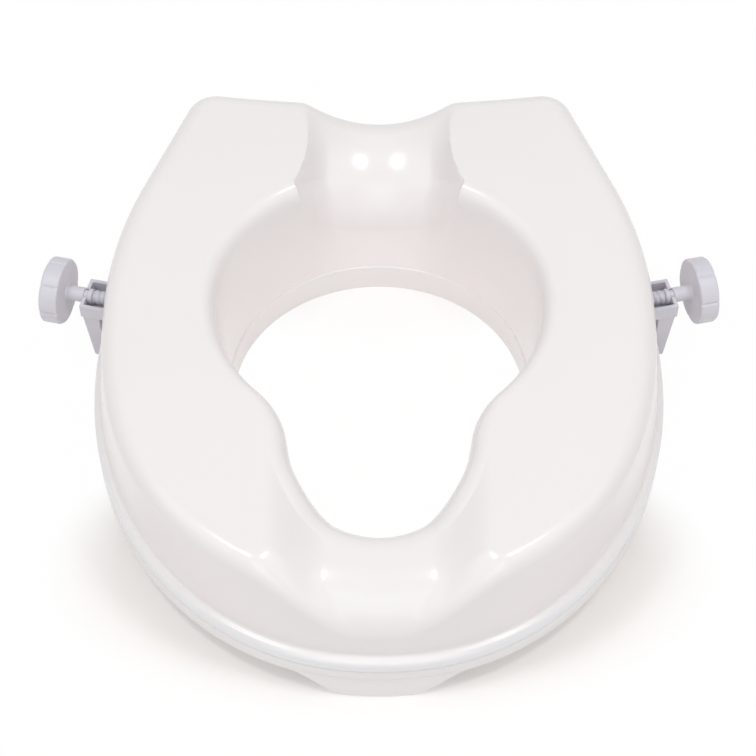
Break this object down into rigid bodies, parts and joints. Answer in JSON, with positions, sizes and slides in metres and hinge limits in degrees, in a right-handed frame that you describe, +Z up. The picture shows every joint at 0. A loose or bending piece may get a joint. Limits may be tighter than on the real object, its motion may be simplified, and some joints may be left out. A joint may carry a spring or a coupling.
{
  "type": "raised toilet seat",
  "caption": "Moulded raised toilet seat with a keyhole aperture, front and rear dips, a base ring that rests on the bowl, and side clamps with hand screws.",
  "frame": {"origin": "on the floor under the middle of the overall box, where the skirt, the front lip and the clamp legs stand", "axes": "+Z up, +Y to the rear of the seat, +X to the user's left when seated"},
  "size_m": [0.4664, 0.4344, 0.1154],
  "materials": {
    "seat_plastic": "glossy moulded white plastic",
    "base_plastic": "satin moulded white plastic",
    "clamp_plastic": "light grey moulded plastic",
    "pad_rubber": "dark grey rubber with grip grooves",
    "nut_metal": "plain steel block"
  },
  "bodies": {
    "seat": {"seat_shell": "seat_plastic", "base_ring": "base_plastic", "left_guide": "base_plastic", "right_guide": "base_plastic", "left_nut": "nut_metal", "right_nut": "nut_metal"},
    "left_jaw": {"left_bracket": "clamp_plastic", "left_jaw_pad": "pad_rubber"},
    "right_jaw": {"right_bracket": "clamp_plastic", "right_jaw_pad": "pad_rubber"},
    "left_clamp_screw": {"left_screw": "clamp_plastic", "left_knob": "clamp_plastic"},
    "right_clamp_screw": {"right_screw": "clamp_plastic", "right_knob": "clamp_plastic"}
  },
  "joints": [
    {"name": "left_jaw_slide", "type": "slide", "parent": "seat", "child": "left_jaw", "axis": [0.9744, -0.225, 0], "range_m": [0, 0.02]},
    {"name": "right_jaw_slide", "type": "slide", "parent": "seat", "child": "right_jaw", "axis": [-0.9744, -0.225, 0], "range_m": [0, 0.02]},
    {"name": "left_screw_turn", "type": "hinge", "parent": "left_jaw", "child": "left_clamp_screw", "pos_m": [-0.21046, 0.06959, 0.0485], "axis": [0.9744, -0.225, 0], "range_deg": [0, 1800]},
    {"name": "right_screw_turn", "type": "hinge", "parent": "right_jaw", "child": "right_clamp_screw", "pos_m": [0.21046, 0.06959, 0.0485], "axis": [-0.9744, -0.225, 0], "range_deg": [0, 1800]}
  ],
  "couplings": [
    {"joint": "left_jaw_slide", "follows": "left_screw_turn", "m_per_rad": 0.00063662},
    {"joint": "right_jaw_slide", "follows": "right_screw_turn", "m_per_rad": 0.00063662}
  ]
}
